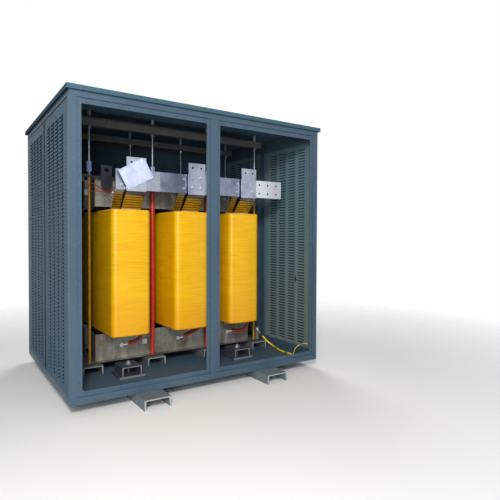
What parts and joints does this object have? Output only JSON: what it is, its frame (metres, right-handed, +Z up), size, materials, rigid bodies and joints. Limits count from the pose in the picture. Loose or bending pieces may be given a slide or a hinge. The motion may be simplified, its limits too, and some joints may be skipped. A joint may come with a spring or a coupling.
{
  "type": "dry power transformer in an open sheet steel enclosure",
  "caption": "Dry power transformer with cast resin coils and aluminium bars, standing in a louvred sheet steel enclosure whose front panels are off.",
  "frame": {"origin": "on the ground under the middle of the enclosure", "axes": "+X to the right along the open front, +Y from the open front to the back wall, +Z up"},
  "size_m": [2.238, 2.04, 2.2253],
  "materials": {
    "painted_sheet_steel": "satin powder coat",
    "channel_steel": "thin primer on rolled steel",
    "galvanised_plate": "dull hot-dip zinc",
    "core_steel": "black varnish over cut sheet edges",
    "cast_resin": "glossy yellow resin and glass",
    "red_tube": "red insulating tube",
    "amber_rod": "varnished yellow-brown glass rod",
    "aluminium_busbar": "bare rolled aluminium",
    "lead_sheath": "red silicone cable sheath",
    "earth_sheath": "yellow cable sheath",
    "tinned_lug": "tinned copper cable lug",
    "paper_pouch": "blank sheets in a clear sleeve"
  },
  "bodies": {
    "root": {"base_frame": "painted_sheet_steel", "top_frame": "painted_sheet_steel", "post_front_left": "painted_sheet_steel", "post_front_right": "painted_sheet_steel", "post_back_left": "painted_sheet_steel", "post_back_right": "painted_sheet_steel", "mullion_front": "painted_sheet_steel", "mullion_back": "painted_sheet_steel", "stud_left": "painted_sheet_steel", "stud_right": "painted_sheet_steel", "roof": "painted_sheet_steel", "floor_plate": "painted_sheet_steel", "panel_left_front": "painted_sheet_steel", "panel_left_back": "painted_sheet_steel", "panel_right_front": "painted_sheet_steel", "panel_right_back": "painted_sheet_steel", "panel_back_left": "painted_sheet_steel", "panel_back_right": "painted_sheet_steel", "skid_left": "channel_steel", "skid_right": "channel_steel", "foot_channel_1": "channel_steel", "foot_channel_2": "channel_steel", "foot_channel_3": "channel_steel", "foot_channel_4": "channel_steel", "anchor_block_left": "channel_steel", "anchor_block_right": "channel_steel", "beam_front": "channel_steel", "beam_back": "channel_steel", "lower_clamp_front": "galvanised_plate", "lower_clamp_back": "galvanised_plate", "upper_clamp_front": "galvanised_plate", "upper_clamp_back": "galvanised_plate", "core": "core_steel", "coil_1": "cast_resin", "coil_2": "cast_resin", "coil_3": "cast_resin", "tie_rod_front_2": "red_tube", "tie_rod_front_3": "red_tube", "tie_rod_back_2": "red_tube", "tie_rod_back_3": "red_tube", "hv_lead_1": "lead_sheath", "hv_lead_2": "lead_sheath", "hv_lead_3": "lead_sheath", "earth_cable": "earth_sheath", "hv_lug_1": "tinned_lug", "hv_lug_2": "tinned_lug", "hv_lug_3": "tinned_lug", "earth_lug": "tinned_lug", "tie_rod_front_1": "amber_rod", "tie_rod_front_4": "amber_rod", "tie_rod_back_1": "amber_rod", "tie_rod_back_4": "amber_rod", "terminal_1": "aluminium_busbar", "terminal_2": "aluminium_busbar", "terminal_3": "aluminium_busbar", "star_bar": "aluminium_busbar", "document_pouch": "paper_pouch"}
  },
  "joints": []
}
